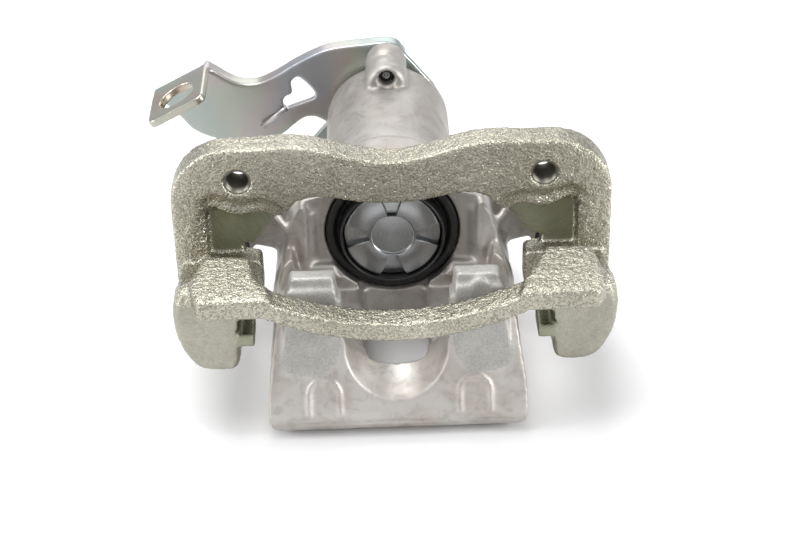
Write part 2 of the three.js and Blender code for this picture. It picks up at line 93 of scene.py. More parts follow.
BRACKET_BOLTS = (19.5, 212), (19.5, 340)  # radius and angle about the cylinder
BRACKET_BOLT_R = 3.3
LEVER_ANGLE = 224.5
CARRIER_VOXEL, HOUSING_VOXEL, BRACKET_VOXEL = 0.62, 0.68, 0.5

# ---------------------------------------------------------------- outlines


def polar(radius, degrees):
    return radius * math.cos(math.radians(degrees)), radius * math.sin(math.radians(degrees))


def arc(cx, cy, radius, start, stop, step=6):
    count = max(2, math.ceil(abs(stop - start) / step))
    points = [polar(radius, start + (stop - start) * i / count) for i in range(count + 1)]
    return [(cx + x, cy + y) for x, y in points]


def flip(points):
    return [(-x, y) for x, y in points][::-1]


def on_side(side, points):
    """An outline drawn for the right side (1), flipped for the left side (-1)."""
    return points if side > 0 else flip(points)


def span(side, inner, outer):
    return sorted((side * inner, side * outer))


def mirrored(half):
    return half + [p for p in flip(half) if abs(p[0]) > 1e-9]


def spline(points, per_span=6):
    """Catmull-Rom points through the given ones."""
    ends = [points[0], *points, points[-1]]
    out = []
    for a, b, c, d in zip(ends, ends[1:], ends[2:], ends[3:]):
        for i in range(per_span):
            t = i / per_span
            out.append(tuple(
                0.5 * (2 * q + (r - p) * t + (2 * p - 5 * q + 4 * r - s) * t * t
                       + (3 * q - p - 3 * r + s) * t ** 3)
                for p, q, r, s in zip(a, b, c, d)))
    return out + [tuple(points[-1])]


# ---------------------------------------------------------------- solids


def closed_object(name, verts, faces):
    mesh = bpy.data.meshes.new(name)
    mesh.from_pydata(verts, [], faces)
    bm = bmesh.new()
    bm.from_mesh(mesh)
    bmesh.ops.remove_doubles(bm, verts=bm.verts, dist=1e-4)
    bmesh.ops.recalc_face_normals(bm, faces=bm.faces)
    bm.to_mesh(mesh)
    bm.free()
    ob = bpy.data.objects.new(name, mesh)
    scene.collection.objects.link(ob)
    return ob


def loft(low, high):
    """A solid between two outlines of as many 3-D points each."""
    n = len(low)
    sides = [(i, (i + 1) % n, (i + 1) % n + n, i + n) for i in range(n)]
    return closed_object("loft", low + high, [tuple(range(n)), tuple(range(n, 2 * n))] + sides)


def prism(points, axis, low, high, far=None):
    """An outline run along an axis; far is a second outline for the high end."""
    orders = {"x": lambda a, b, t: (t, a, b), "y": lambda a, b, t: (a, t, b), "z": lambda a, b, t: (a, b, t)}
    place = orders[axis]
    return loft([place(a, b, low) for a, b in points], [place(a, b, high) for a, b in far or points])


def block(x0, x1, y0, y1, z0, z1):
    return prism([(x0, y0), (x1, y0), (x1, y1), (x0, y1)], "z", z0, z1)


def lathe(profile, x=0, z=0, steps=96):
    """A closed profile of (radius, y) turned about a Y axis through x, z."""
    n = len(profile)
    verts = [(x + r * math.cos(2 * math.pi * k / steps), y, z + r * math.sin(2 * math.pi * k / steps))
             for k in range(steps) for r, y in profile]
    faces = []
    for k in range(steps):
        a, b = k * n, (k + 1) % steps * n
        for i in range(n):
            j = (i + 1) % n
            if profile[i][0] or profile[j][0]:
                faces.append((a + i, a + j, b + j, b + i))
    return closed_object("lathe", verts, faces)


def drum(radius, y0, y1, x=0, z=0, steps=64):
    return lathe([(0, y0), (radius, y0), (radius, y1), (0, y1)], x, z, steps)


def blob(x, y, z, rx, ry, rz):
    bm = bmesh.new()
    bmesh.ops.create_uvsphere(bm, u_segments=32, v_segments=20, radius=1)
    mesh = bpy.data.meshes.new("blob")
    matrix = Matrix.Translation((x, y, z)) @ Matrix.Diagonal((rx, ry, rz, 1))
    bmesh.ops.transform(bm, matrix=matrix, verts=bm.verts)
    bm.to_mesh(mesh)
    bm.free()
    ob = bpy.data.objects.new("blob", mesh)
    scene.collection.objects.link(ob)
    return ob


def rope(points, radius, sides=12):
    """A round bar along a smooth path of 3-D points, with flat ends."""
    path = [Vector(p) for p in points]
    side = Vector((0, 1, 0)).cross(path[1] - path[0])
    side = side.normalized() if side.length > 1e-6 else Vector((1, 0, 0))
    verts = []
    for i, p in enumerate(path):
        along = (path[min(i + 1, len(path) - 1)] - path[max(i - 1, 0)]).normalized()
        side = (side - along * side.dot(along)).normalized()
        up = along.cross(side)
        for k in range(sides):
            c, s = polar(radius, 360 * k / sides)
            verts.append(p + side * c + up * s)
    faces = [tuple(range(sides)), tuple(range(len(verts) - sides, len(verts)))]
    for i in range(len(path) - 1):
        for k in range(sides):
            a, b = i * sides + k, i * sides + (k + 1) % sides
            faces.append((a, b, b + sides, a + sides))
    return closed_object("rope", verts, faces)


def bake(ob):
    """Applies ob's modifiers to its mesh."""
    evaluated = ob.evaluated_get(bpy.context.evaluated_depsgraph_get())
    mesh = bpy.data.meshes.new_from_object(evaluated)
    ob.modifiers.clear()
    ob.data = mesh
    return ob


def remesh(ob, voxel):
    modifier = ob.modifiers.new("remesh", "REMESH")
    modifier.mode = "VOXEL"
    modifier.voxel_size = voxel
    return bake(ob)


def cut(ob, *tools):
    for tool in tools:
        modifier = ob.modifiers.new("cut", "BOOLEAN")
        modifier.operation = "DIFFERENCE"
        modifier.solver = "MANIFOLD"
        modifier.object = tool
        bake(ob)
        bpy.data.objects.remove(tool)
    return ob


def merge(solids):
    bm = bmesh.new()
    for ob in solids:
        bm.from_mesh(ob.data)
    mesh = bpy.data.meshes.new("merged")
    bm.to_mesh(mesh)
    bm.free()
    for ob in solids:
        bpy.data.objects.remove(ob)
    ob = bpy.data.objects.new("merged", mesh)
    scene.collection.objects.link(ob)
    return ob


def cast(solids, cuts, voxel):
    """Fuses overlapping solids, cuts tools from them, and meshes the result evenly."""
    return remesh(cut(remesh(merge(solids), voxel), *cuts), voxel)


def coordinates(mesh):
    co = np.empty(len(mesh.vertices) * 3)
    mesh.vertices.foreach_get("co", co)
    return co.reshape(-1, 3)


def relax(ob, rounds, weight=None):
    """Rounds edges: each vertex moves towards the mean of its neighbours."""
    mesh = ob.data
    co = coordinates(mesh)
    edges = np.empty(len(mesh.edges) * 2, int)
    mesh.edges.foreach_get("vertices", edges)
    a, b = edges.reshape(-1, 2).T
    degree = np.bincount(a, minlength=len(co)) + np.bincount(b, minlength=len(co))
    share = 0.5 * (np.ones(len(co)) if weight is None else weight(co))
    for _ in range(rounds):
        for axis in range(3):
            column = co[:, axis]
            total = np.bincount(a, column[b], len(co)) + np.bincount(b, column[a], len(co))
            co[:, axis] = column + share * (total / degree - column)
    mesh.vertices.foreach_set("co", co.ravel())
    mesh.update()


def push(ob, height):
    """Moves vertices along their normals by height(co)."""
    mesh = ob.data
    co = coordinates(mesh)
    normal = np.array([v.normal for v in mesh.vertices])
    mesh.vertices.foreach_set("co", (co + normal * height(co)[:, None]).ravel())
    mesh.update()


def swell(ob, size, amount, mask=None):
    """Pushes vertices in and out by smooth noise, with bumps of about this size."""
    def height(co):
        bumps = np.array([noise.noise(Vector(c) / size) for c in co]) * amount
        return bumps if mask is None else bumps * mask(co)

    push(ob, height)


def smoothstep(x, low, high):
    t = np.clip((x - low) / (high - low), 0, 1)
    return t * t * (3 - 2 * t)


def finish(ob, name, body, materials, nodes=(), pick=None):
    """Scales a solid to metres and hands it to the frame. pick(centre, normal) gives a face's material.

    body is a body's name, to which the piece is attached; a tuple (body, other body, start, end) in its
    place is not used, and such a piece is only left in world space.
    """
    ob.name = ob.data.name = name
    ob.data.transform(Matrix.Scale(MM, 4))
    ob.data.materials.clear()
    for material in materials:
        ob.data.materials.append(material)
    ob.data.polygons.foreach_set("use_smooth", [True] * len(ob.data.polygons))
    if pick:
        count = len(ob.data.polygons)
        centre, normal = np.empty(count * 3), np.empty(count * 3)
        ob.data.polygons.foreach_get("center", centre)
        ob.data.polygons.foreach_get("normal", normal)
        slots = pick(centre.reshape(-1, 3) / MM, normal.reshape(-1, 3)).astype(int)
        ob.data.polygons.foreach_set("material_index", slots)
    if isinstance(body, str):
        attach(ob, body)
    else:
        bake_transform(ob)
    if nodes:
        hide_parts(*nodes)
    return ob


# ---------------------------------------------------------------- materials


class Look:
    """A Principled material whose patterns are laid in the piece's own space."""

    def __init__(self, name, metallic=1.0):
        self.material = bpy.data.materials.new(name)
        self.material.use_nodes = True
        self.tree = self.material.node_tree
        self.shader = self.tree.nodes["Principled BSDF"]
        self.shader.inputs["Metallic"].default_value = metallic
        self.place = self.node("ShaderNodeTexCoord").outputs["Object"]
        self.height = None

    def node(self, kind, **inputs):
        node = self.tree.nodes.new(kind)
        for key, value in inputs.items():
            socket = node.inputs[key]
            if isinstance(value, bpy.types.NodeSocket):
                self.tree.links.new(value, socket)
            else:
                socket.default_value = value
        return node

    def noise(self, scale, detail=3.0, roughness=0.55, distortion=0.0):
        return self.node("ShaderNodeTexNoise", Vector=self.place, Scale=scale, Detail=detail,
                         Roughness=roughness, Distortion=distortion).outputs["Fac"]

    def facets(self, scale):
        """A random level for each crystal-like cell."""
        cells = self.node("ShaderNodeTexVoronoi", Vector=self.place, Scale=scale).outputs["Color"]
        return self.node("ShaderNodeSeparateColor", Color=cells).outputs[0]

    def ramp(self, value, *stops):
        node = self.node("ShaderNodeValToRGB", Fac=value)
        while len(node.color_ramp.elements) < len(stops):
            node.color_ramp.elements.new(0.5)
        for element, (position, color) in zip(node.color_ramp.elements, stops):
            element.position = position
            element.color = (*color, 1) if len(color) == 3 else color
        return node.outputs["Color"]

    def grey(self, value, low, high, start=0.3, stop=0.7):
        return self.ramp(value, (start, (low,) * 3), (stop, (high,) * 3))

    def mix(self, a, b, factor, blend="MIX"):
        node = self.tree.nodes.new("ShaderNodeMix")
        node.data_type = "RGBA"
        node.blend_type = blend
        for socket, value in ((node.inputs[0], factor), (node.inputs[6], a), (node.inputs[7], b)):
            if isinstance(value, bpy.types.NodeSocket):
                self.tree.links.new(value, socket)
            else:
                socket.default_value = value
        return node.outputs[2]

    def color(self, value):
        self.tree.links.new(value, self.shader.inputs["Base Color"])

    def roughness(self, value):
        self.tree.links.new(value, self.shader.inputs["Roughness"])

    def bump(self, value, distance, strength=1.0):
        """distance in mm."""
        inputs = {"Height": value, "Distance": distance * MM, "Strength": strength}
        if self.height:
            inputs["Normal"] = self.height
        self.height = self.node("ShaderNodeBump", **inputs).outputs["Normal"]
        self.tree.links.new(self.height, self.shader.inputs["Normal"])

    def rings(self, x, y, z, period, axis="SPHERICAL"):
        """Fine circular marks about a point (mm), period in mm."""
        moved = self.node("ShaderNodeVectorMath", Vector=self.place)
        moved.operation = "SUBTRACT"
        moved.inputs[1].default_value = (x * MM, y * MM, z * MM)
        wave = self.node("ShaderNodeTexWave", Vector=moved.outputs[0], Scale=0.32 / (period * MM),
                         Distortion=0.6)
        wave.wave_type = "RINGS"
        wave.rings_direction = axis
        wave.inputs["Detail"].default_value = 1.0
        return wave.outputs["Fac"]


def cast_iron_look():
    look = Look("zinc_plated_cast_iron")
    grain = look.noise(1250, 2.0, 0.6)
    patches = look.noise(28, 2.0)
    tone = look.ramp(patches, (0.35, (0.43, 0.415, 0.335)), (0.65, (0.53, 0.51, 0.425)))
    facet = look.facets(1900)
    look.color(look.mix(tone, look.grey(facet, 0.35, 1.0, 0.0, 0.7), 0.75, "MULTIPLY"))
    look.roughness(look.grey(facet, 0.36, 0.2, 0.0, 1.0))
    look.bump(look.noise(420, 2.0), 0.5, 1.0)
    look.bump(grain, 0.55, 1.0)
    return look.material


def milled_iron_look():
    look = Look("milled_cast_iron")
    marks = look.rings(20, POCKET_Y, 60, 0.9)
    look.color(look.ramp(look.noise(60, 3.0), (0.35, (0.24, 0.245, 0.18)), (0.65, (0.31, 0.315, 0.235))))
    look.roughness(look.grey(look.noise(300), 0.32, 0.42))
    look.bump(marks, 0.12, 0.8)
    look.bump(look.noise(1200), 0.05, 0.6)
    return look.material


def smooth_iron_look():
    look = Look("smooth_cast_iron")
    grain = look.noise(1100, 3.0)
    look.color(look.mix(look.ramp(look.noise(40), (0.35, (0.33, 0.32, 0.26)), (0.65, (0.40, 0.39, 0.325))),
                        look.grey(look.facets(1900), 0.7, 1.0, 0.0, 0.9), 0.5, "MULTIPLY"))
    look.roughness(look.grey(look.noise(500), 0.36, 0.5))
    look.bump(look.noise(420, 2.0), 0.35, 0.8)
    look.bump(grain, 0.35, 1.0)
    return look.material


def aluminium_look():
    look = Look("cast_aluminium", 0.7)
    large = look.noise(45, 3.0, 0.6, 0.4)
    base = look.ramp(large, (0.3, (0.39, 0.35, 0.315)), (0.5, (0.47, 0.445, 0.41)),
                     (0.72, (0.525, 0.505, 0.475)))
    smudge = look.noise(120.0, 5.0, 0.7, 1.2)
    # Painted shade: the housing's colour darkens by about a quarter from the cylinder's mouth (Y = 0) to 40
    # mm behind it, and stays that dark to the closed end.
    along = look.node("ShaderNodeSeparateXYZ", Vector=look.place).outputs["Y"]
    base = look.mix(base, look.grey(along, 1.0, 0.74, 0.0, 0.04), 1.0, "MULTIPLY")
    look.color(look.mix(base, look.grey(smudge, 0.55, 1.0, 0.36, 0.5), 0.4, "MULTIPLY"))
    look.roughness(look.grey(look.noise(160, 4.0), 0.42, 0.58))
    look.bump(look.noise(110, 3.0), 0.25, 0.5)
    look.bump(look.noise(900, 2.0), 0.04, 0.6)
    return look.material


def blasted_look():
    look = Look("blasted_aluminium", 0.6)
    grain = look.noise(1400, 2.0)
    look.color(look.mix(look.ramp(look.noise(60), (0.35, (0.40, 0.395, 0.37)), (0.65, (0.47, 0.46, 0.43))),
                        look.grey(look.facets(2200), 0.65, 1.0, 0.0, 0.9), 0.6, "MULTIPLY"))
    look.roughness(look.grey(look.noise(300), 0.46, 0.6))
    look.bump(grain, 0.16, 1.0)
    return look.material


def turned_look():
    look = Look("turned_steel")
    marks = look.rings(0, 0, 0, 0.5, "Y")
    dark = (0.33, 0.335, 0.34)
    bright = tuple(c * 1.25 for c in dark)
    look.color(look.ramp(look.noise(70, 3.0), (0.35, dark), (0.65, bright)))
    look.roughness(look.grey(marks, 0.2, 0.34, 0.0, 1.0))
    look.bump(marks, 0.02, 0.5)
    look.bump(look.noise(500), 0.02, 0.4)
    return look.material


def plated_look(name, size, smooth, rough, *tints):
    """Zinc plate, its tint drifting from place to place; size is the scale of the drift."""
    look = Look(name)
    look.color(look.ramp(look.noise(size, 1.5, 0.5, 0.3), *tints))
    look.roughness(look.grey(look.noise(90, 4.0), smooth, rough))
    look.bump(look.noise(700, 2.0), 0.03, 0.5)
    return look.material


def zinc_look():
    return plated_look("zinc_plated_sheet", 26, 0.30, 0.42, (0.30, (0.36, 0.43, 0.43)),
                       (0.42, (0.385, 0.425, 0.40)), (0.52, (0.43, 0.445, 0.39)),
                       (0.60, (0.455, 0.42, 0.41)), (0.70, (0.42, 0.435, 0.465)))


def tab_look():
    return plated_look("zinc_plated_tab", 60, 0.26, 0.38, (0.32, (0.42, 0.41, 0.31)),
                       (0.46, (0.46, 0.385, 0.32)), (0.55, (0.44, 0.43, 0.37)), (0.68, (0.37, 0.41, 0.355)))


def rubber_look():
    look = Look("black_rubber", 0.0)
    look.color(look.ramp(look.noise(300, 3.0), (0.3, (0.006, 0.006, 0.006)), (0.7, (0.014, 0.014, 0.014))))
    look.roughness(look.grey(look.noise(200, 3.0), 0.34, 0.5))
    look.bump(look.noise(900), 0.02, 0.5)
    return look.material


def bronze_look():
    look = Look("sintered_bronze")
    look.color(look.ramp(look.noise(400, 3.0), (0.35, (0.40, 0.27, 0.12)), (0.65, (0.56, 0.40, 0.20))))
    look.roughness(look.grey(look.noise(300, 3.0), 0.35, 0.5))
    look.bump(look.noise(1500), 0.03, 0.7)
    return look.material


def thread_look():
    look = Look("cut_thread")
    look.color(look.ramp(look.noise(300), (0.35, (0.20, 0.195, 0.165)), (0.65, (0.28, 0.27, 0.23))))
    look.roughness(look.grey(look.noise(600), 0.38, 0.5))
    return look.material


THREAD = thread_look()
IRON, MILLED, SMOOTH_IRON = cast_iron_look(), milled_iron_look(), smooth_iron_look()
ALUMINIUM, BLASTED = aluminium_look(), blasted_look()
STEEL, ZINC, TAB = turned_look(), zinc_look(), tab_look()
RUBBER, BRONZE = rubber_look(), bronze_look()

# ---------------------------------------------------------------- carrier


def beam_outline():
    top = [(CARRIER_HALF, 12), *arc(60.8, 23.2, CARRIER_HALF - 60.8, 5, 90)]
    dip = [(38 * i / 14, 38.5 + 3.75 * (1 - math.cos(math.pi * i / 14))) for i in range(14, -1, -1)]
    under = spline([(0, 20.8), (8, 21.1), (15.5, 22.2), (24, 24), (31.5, 24), (37, 21.6), (40.4, 16.4)], 4)
    boss = spline([(42.3, 12.2), (46.5, 14.4), (50.8, 15.4), (56.8, 13.7), (62.3, 15.2), (66.8, 17.2)], 4)
    column = [(69.6, 17.9), (POCKET_X, 15.8), (POCKET_X, -12), (CARRIER_HALF, -12)]
    return mirrored(under + boss + column + top + dip)


def lip_bevel(side):
    """Cut that slopes the beam's front face back to the top of the pocket."""
    front = [(POCKET_X + 0.2, POCKET_LOW_Z), (POCKET_X + 0.2, 15), (72.4, 24.5), (69.5, 27.4), (66.4, 28),
             (62.4, 26.6), (59.4, 25.2), (55, 25.2), (50, 25.6), (45.5, 24.6), (41, 22), (36, 14), (40, 8),
             (50, POCKET_LOW_Z)]
    back = [(POCKET_X, POCKET_LOW_Z), (POCKET_X, 13.5), (69.9, 17.1), (68, 17.3), (65.5, 16.4),
            (62.3, 15.1), (59.4, 13.9), (55, 13.8), (51, 15), (46.5, 14.2), (42.4, 12), (40.4, 10), (43, 4),
            (50, POCKET_LOW_Z)]
    return prism(on_side(side, front), "y", BEAM_FRONT_Y - 0.01, POCKET_Y, on_side(side, back))


def lip_bead(side):
    """The rolled edge between the bevel and the pocket."""
    path = spline([(71, -6.5, 20.6), (67.4, -7.6, 21.8), (62.4, -8.2, 19.4), (56.9, -8.4, 18),
                   (50.8, -8.2, 19.5), (46.2, -7.8, 18.6), (42.4, -6.6, 16)], 4)
    return rope([(side * x, y, z) for x, y, z in path], 2.3)


def web_outline():
    return [(72, -12), (72, 32), (44, 30),
            *spline([(42.6, 14), (46, 10.5), (49, 7), (51, 3.6), (54, 0.9)], 3), (59, 0.3), (59, -12)]


def arm_outline():
    rim = spline([(57.5, -12), (57.6, -18), (58.8, -21), (61.5, -21.8), (70.5, -21.4), (75.6, -17.4),
                  (79.4, -9.5), (80.6, -2), (80.8, 3), (79.8, 9), (77.4, 14)], 4)
    return rim + [(72, 15), (71, 3), (66, -1), (57.5, -1)]


def tie_bar():
    def crown(x):
        return 4.6 + 10.8 * min(1, abs(x / 47)) ** 2.05

    stations = [-57 + 3 * i for i in range(39)]
    outline = [(x, crown(x) - 7.4) for x in stations] + [(x, crown(x)) for x in reversed(stations)]
    return prism(outline, "y", TIE_FRONT_Y, TIE_FRONT_Y + 11)


def carrier_side(side):
    """The web, knuckle boss, arm and outboard block of one side."""
    if side > 0:
        pad = [(55.5, -39.6), (72, -40.4), (74.2, -51.4), (75.6, -63), (72, TIE_FRONT_Y), (44, TIE_FRONT_Y),
               (47, -57.5), (52, -48)]
    else:
        pad = [(-69.8, -39.6), (-52.3, -40.6), (-49.2, -55.9), (-46, -58), (-44, TIE_FRONT_Y),
               (-70.4, TIE_FRONT_Y), (-73.4, -57.7)]
    outer = arm_outline()
    tapered = [(67 + (x - 67) * 0.87, -5 + (z + 5) * 0.9) for x, z in outer]
    over_arm = [(-53, 16), (-46, 9), (-35, 3), (BEAM_FRONT_Y, -2.6), (BEAM_FRONT_Y, 40), (-53, 40)]
    arm = prism(on_side(side, outer), "y", ARM_END_Y + 3, KNUCKLE_Y)
    upper_rail = [(52, 1), (59, 1), (59, 12), (52, 12)]
    lower_rail = [(51.8, -11.5), (59, -11.5), (59, -5.9), (51.8, -5.9)]
    foot = [(50.5, -18.5), (57.2, -18.5), (57.2, -3.6), (52.5, -3.8), (51, -4.6), (50.5, -6)]
    return [
        prism(on_side(side, web_outline()), "y", POCKET_Y, KNUCKLE_Y),
        drum(12, -1, KNUCKLE_Y, side * MOUNT_X, MOUNT_Z),
        cut(arm, prism(over_arm, "x", *span(side, 62, 90))),
        prism(on_side(side, tapered), "y", ARM_END_Y, ARM_END_Y + 3, on_side(side, outer)),
        prism(pad, "z", -3, 19),
        prism(on_side(side, upper_rail), "y", ARM_END_Y + 1, -43),
        prism(on_side(side, lower_rail), "y", ARM_END_Y + 1, -43),
        prism(on_side(side, foot), "y", -10, 0),
    ]


def carrier_cuts(side):
    """What is taken from one side: pad slots, pin bore, overhang, arm's front, pocket and its lip."""
    notch = [(50, -6), (57.5, -6), (57.5, 1), (50, 1)]
    over_pad = [(-30, 19.3), (-36, 18.8), (-70, 16.4), (-70, 25), (-30, 25)]
    front = [(-71, -5), (ARM_END_Y, -5), (ARM_END_Y, 8.6), (-71, 8.6)]
    pocket = [(57.2, POCKET_LOW_Z), (POCKET_X, POCKET_LOW_Z), (POCKET_X, 12), (57.2, 12)]
    corner_x, corner_y = (72, -10.6) if side > 0 else (74.6, -8)
    corner = [(70, -12.4), (corner_x, -12.4), (70, corner_y)]
    return [
        block(*span(side, 43, 50.6), -72, PAD_BACK_Y, -13, 7),
        drum(5.2, -47, 10, side * PIN_X, PIN_Z),
        prism(on_side(side, notch), "y", TIE_FRONT_Y - 1, PAD_BACK_Y),
        prism(over_pad, "x", *span(side, 35, 90)),
        prism(front, "x", *span(side, 46, 90)),
        prism(on_side(side, pocket), "y", BEAM_FRONT_Y - 1, POCKET_Y),
        lip_bevel(side),
        prism(on_side(side, corner), "z", -3, 19),
    ]


def carrier():
    solids = [prism(beam_outline(), "y", BEAM_FRONT_Y, 0), tie_bar(), blob(59, -46, 18.2, 1.6, 2.4, 1.6)]
    cuts = [drum(ROTOR_ROOM_R, -35, BEAM_FRONT_Y, 0, ROTOR_Z, 256)]
    for side in (1, -1):
        solids += carrier_side(side)
        cuts += carrier_cuts(side)
    ob = cast(solids, cuts, CARRIER_VOXEL)
    ob = remesh(merge([ob, lip_bead(1), lip_bead(-1)]), CARRIER_VOXEL)
    ob = cut(ob, *[drum(MOUNT_HOLE_R, -20, 10, side * MOUNT_X, MOUNT_Z) for side in (1, -1)])

    def soft(co):
        """1 on cast surfaces, less on milled ones."""
        x, y, z = np.abs(co[:, 0]), co[:, 1], co[:, 2]
        pocket = (y > -5.5) & (x > 40) & (x < POCKET_X + 0.5) & (z < 16)
        slot = (x < 58.5) & (x > 49) & (z < 2.5) & (z > -14)
        hole = np.hypot(x - MOUNT_X, z - MOUNT_Z) < 6.5
        return np.where(pocket | slot, 0.25, np.where(hole, 0.15, 1.0))

    def lip(co):
        """1 on the bevel below a mounting hole, 0 away from it."""
        x, y, z = np.abs(co[:, 0]), co[:, 1], co[:, 2]
        reach = np.hypot(x - MOUNT_X, z - MOUNT_Z)
        under, ahead = 1 - smoothstep(z, 25, 28), 1 - smoothstep(y, -6.5, -5)
        return under * smoothstep(reach, 7, 10) * (1 - smoothstep(reach, 19, 22)) * ahead

    relax(ob, 8, soft)
    relax(ob, 26, lip)
    swell(ob, 2.2, 0.18, soft)
    swell(ob, 1.0, 0.17, soft)

    def pick(centre, normal):
        x, y, z = np.abs(centre[:, 0]), centre[:, 1], centre[:, 2]
        pocket = (np.abs(y - POCKET_Y) < 0.5) & (normal[:, 1] < -0.9) & (x < POCKET_X + 1)
        slot = (x > 49.5) & (x < 58) & (z < 2) & (z > -12) & (y < -20)
        lobe = (np.abs(y - ARM_END_Y) < 4) & (z < 8) & (x > 54)
        return np.where(pocket | slot, 1, np.where(lobe, 2, 0))

    materials = [IRON, MILLED, SMOOTH_IRON]
    return finish(ob, "carrier_casting", "carrier", materials, ["carrier"], pick)


def thread_sleeve(side):
    """Rings that stand for the internal thread of a mounting hole."""
    pitch, turns = 1.6, 9
    crest, root, wall = 4.1, 4.7, 5.3
    start = BEAM_FRONT_Y + 0.5
    profile = []
    for i in range(turns):
        y = start + i * pitch
        profile += [(root, y), (crest, y + pitch / 2)]
    profile += [(root, start + turns * pitch), (wall, start + turns * pitch), (wall, start)]
    name = "mounting_thread_" + ("right" if side > 0 else "left")
    ob = finish(lathe(profile, side * MOUNT_X, MOUNT_Z, 64), name, "carrier", [THREAD])
    ob.data.set_sharp_from_angle(angle=math.radians(30))
    return ob


# ---------------------------------------------------------------- housing


def bridge_block():
    """The bridge and both fingers, still one block: a side outline met by a front outline."""
    profile = [(4, BRIDGE_INNER_Z), (FINGER_INNER_Y, BRIDGE_INNER_Z), (FINGER_INNER_Y, 6), (-54.1, 6),
               (-54.3, FINGER_BEND_Z), (-66.5, -37), (-66.5, -41), (-63.8, -45), (-58.5, -47.2),
               (-56, BRIDGE_BACK_Z), (34, BRIDGE_BACK_Z), (52, -24), (52, -12), (4, -12)]
    across = mirrored([(0, BRIDGE_BACK_Z), (41, BRIDGE_BACK_Z), (44.6, -46.2), (47, -43.4), (48, -39.5),
                       (47.7, -30), (44.3, -5), (41, 12), (38.8, 18), (0, 18)])
    ob = prism(profile, "x", -49, 49)
    other = prism(across, "y", -80, 80)
    modifier = ob.modifiers.new("shape", "BOOLEAN")
    modifier.operation = "INTERSECT"
    modifier.solver = "MANIFOLD"
    modifier.object = other
    bake(ob)
    bpy.data.objects.remove(other)
    return ob


def ear_outline():
    lug = arc(PIN_X, PIN_Z, 10, -155, 70)
    return mirrored([(0, -28), (43.5, -28), (44.5, -18), (47, -14.6), (54.9, -12.6), *lug, (48, 2), (42, 6),
                     (30, 15), (0, 15)])


def flank(side):
    """The walls and ribs that tie the bridge to the cylinder on one side."""
    outer = [(33.5, -26), (46.2, -26), (44.6, -14), (41.8, -4), (38.2, 9), (35, 14), (33, 13), (32.6, -6)]
    inner = [(20, -26), (36, -26), (36, 14), (24, 17)]
    step = [(28.6, 3.4), (34.4, -1.7), (36, -1.7), (36, 6), (28.6, 6)]
    lower = [(35, -24), (46.4, -27), (44.8, -15), (42.6, -8), (39, -4)]
    raised = [(x, z + 3) for x, z in lower]
    ribs = [([(35.5, -0.6, -23), (35, -1.2, -12), (34.2, -1.4, -4), (35.6, -0.8, 3), (33, 1, 11)], 1.5),
            ([(46.6, -6, -26), (44.6, -3, -15), (40.4, -1, -6), (39.8, 1, 0), (44, 8, 4), (48, 14, 5)], 1.7)]
    return [
        prism(on_side(side, outer), "y", -1.6, 24),
        prism(on_side(side, inner), "y", 3, 22),
        prism(on_side(side, step), "z", -25, 10),
        prism(on_side(side, lower), "y", -9, 4, on_side(side, raised)),
        *[rope([(side * x, y, z) for x, y, z in spline(path, 5)], radius) for path, radius in ribs],
    ]


def port_ridge():
    profile = [(0, 74.8), (6.6, 74.8), (8.0, 76), (8.7, 78), (8.7, 90), (0, 90)]
    return [
        lathe(profile, 0, 26.5, 48),
        block(-8.2, 8.2, 76, 92, 10, 26.5),
        blob(0, 82.5, 28.2, 7.4, 5.2, 8.0),
        blob(0, 91, 28.7, 8.7, 8.7, 8.9),
        prism([(-9.6, 20), (9.6, 20), (8.4, 27), (-8.4, 27)], "y", 76.5, 95),
    ]


def finger_tips():
    tips = []
    for side in (1, -1):
        tip = [(20.2, FINGER_INNER_Y), (41, FINGER_INNER_Y), (40.6, -54.1), (20.2, -54.1)]
        top = [(21.6, -46), (38, -46), (37.2, -52.6), (22.6, -52.6)]
        tips.append(prism(on_side(side, tip), "z", 3, 14.6, on_side(side, top)))
    tips.append(drum(3.6, -55, -48, 30.5, 9.5, 40))
    return tips


def finger_panel(side):
    """The raised grit-blasted field on a finger's outer face, which bends to a slope."""
    outline = [(21.6, -12), (21, 2), (21.4, 9.5), (22.6, 10.6), (38.6, 10.6), (39.8, 9.4), (41.2, -6),
               (42, -15), *arc(37, -16.4, 5, 0, -85, 20), (28, -21.8), (24.5, -19.6), (22.6, -16)]

    def shell(depth):
        return [(x, -54.35 + min(0, z - FINGER_BEND_Z) * FINGER_RUN / FINGER_FALL + depth, z)
                for x, z in on_side(side, outline)]

    return loft(shell(-0.45), shell(1.5))


def die_marks():
    """The shallow arched marks low on each finger's outer face."""
    width, marks = 5.7, []
    for x in (-27.2, 28.3):
        outline = [(x + width, -37.4), *arc(x, -29, width, 0, 180, 10), (x - width, -37.4)]
        path = [(px, -54.2 - (FINGER_BEND_Z - pz) * 12.5 / FINGER_FALL - 0.55, pz) for px, pz in outline]
        marks.append(rope(path, 0.75, 8))
    return marks


def collar_ledges(side):
    """The stepped ledge between the bridge and the cylinder's mouth."""
    inner, outer = span(side, 14, 34)
    steps = [(-0.4, -27, -18.4), (-2.4, -18.6, -15.8), (-1.2, -16, -13)]
    return [block(inner, outer, front, 6, bottom, top) for front, bottom, top in steps]


def housing_solids():
    rear = arc(CYLINDER_R - 7, REAR_Y - 7, 7, 0, 90, 10)
    shell = [(0, 3), (COLLAR_R, 3), (COLLAR_R, 24), (29.4, 26), (26.6, 31), (CYLINDER_R, 32.5), *rear,
             (0, REAR_Y)]
    return [
        lathe(shell, steps=160), bridge_block(), prism(ear_outline(), "y", 15.5, 26), *port_ridge(),
        *finger_tips(), *flank(1), *flank(-1), *die_marks(),
        *[drum(6.5, 86, REAR_Y, *polar(*bolt)) for bolt in BRACKET_BOLTS],
        finger_panel(1), finger_panel(-1), *collar_ledges(1), *collar_ledges(-1),
    ]


def bridge_window():
    def corner(cx, cy, start):
        return arc(cx, cy, 4, start, start + 90, 10)

    return corner(9, -3, 0) + corner(-8.2, -3, 90) + corner(-8.2, -45, 180) + corner(9, -45, 270)


